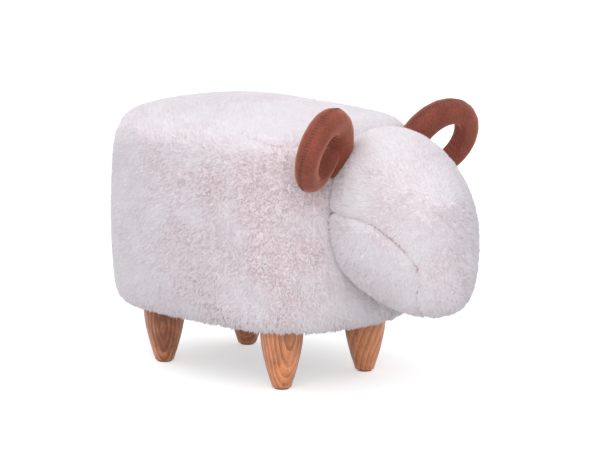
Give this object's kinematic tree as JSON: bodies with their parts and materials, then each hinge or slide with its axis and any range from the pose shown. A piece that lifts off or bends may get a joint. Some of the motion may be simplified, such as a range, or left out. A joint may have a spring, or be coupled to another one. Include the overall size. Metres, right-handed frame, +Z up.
{
  "type": "animal footstool",
  "caption": "Ram-shaped pouf footstool: a fur-covered padded drum seat on four turned wooden legs, with a stuffed drooping head and two curled soft horns.",
  "frame": {"origin": "on the floor, under the middle of the stool's overall length and width", "axes": "+X towards the head, +Y the animal's left side, +Z up"},
  "size_m": [0.6049, 0.3384, 0.4068],
  "materials": {
    "fur": "short curly off-white pile with a pinkish ground",
    "suede": "brown suede-like cloth, soft matt nap",
    "leg_wood": "reddish-brown satin lacquer over cathedral grain",
    "pine": "planed, unfinished",
    "plywood": "sanded, unfinished",
    "hardboard": "smooth brown hardboard",
    "foam": "open-cell upholstery foam",
    "stuffing": "polyester fibre fill",
    "lining": "plain woven lining",
    "dust_cloth": "black spun-bonded cloth",
    "glide_plastic": "dark brown moulded plastic",
    "zinc_steel": "zinc-plated"
  },
  "bodies": {
    "root": {"cover_top": "fur", "cover_side_left": "fur", "cover_side_right": "fur", "seat_foam": "foam", "side_wadding": "stuffing", "side_wall": "hardboard", "bottom_board": "plywood", "seat_board": "plywood", "dust_cover": "dust_cloth", "post_front_left": "pine", "post_front_right": "pine", "post_middle_left": "pine", "post_middle_right": "pine", "post_back_left": "pine", "post_back_right": "pine", "screw_lower_front_left": "zinc_steel", "screw_lower_front_right": "zinc_steel", "screw_lower_middle_left": "zinc_steel", "screw_lower_middle_right": "zinc_steel", "screw_lower_back_left": "zinc_steel", "screw_lower_back_right": "zinc_steel", "screw_upper_front_left": "zinc_steel", "screw_upper_front_right": "zinc_steel", "screw_upper_middle_left": "zinc_steel", "screw_upper_middle_right": "zinc_steel", "screw_upper_back_left": "zinc_steel", "screw_upper_back_right": "zinc_steel", "leg_front_left": "leg_wood", "leg_front_right": "leg_wood", "leg_back_left": "leg_wood", "leg_back_right": "leg_wood", "glide_front_left": "glide_plastic", "glide_front_right": "glide_plastic", "glide_back_left": "glide_plastic", "glide_back_right": "glide_plastic", "hanger_bolt_front_left": "zinc_steel", "hanger_bolt_front_right": "zinc_steel", "hanger_bolt_back_left": "zinc_steel", "hanger_bolt_back_right": "zinc_steel", "tee_nut_front_left": "zinc_steel", "tee_nut_front_right": "zinc_steel", "tee_nut_back_left": "zinc_steel", "tee_nut_back_right": "zinc_steel", "head_face_panel": "fur", "head_cheek_panel_left": "fur", "head_cheek_panel_right": "fur", "head_lining": "lining", "head_stuffing": "stuffing", "horn_sleeve_left": "suede", "horn_sleeve_right": "suede", "horn_stuffing_left": "stuffing", "horn_stuffing_right": "stuffing"}
  },
  "joints": []
}
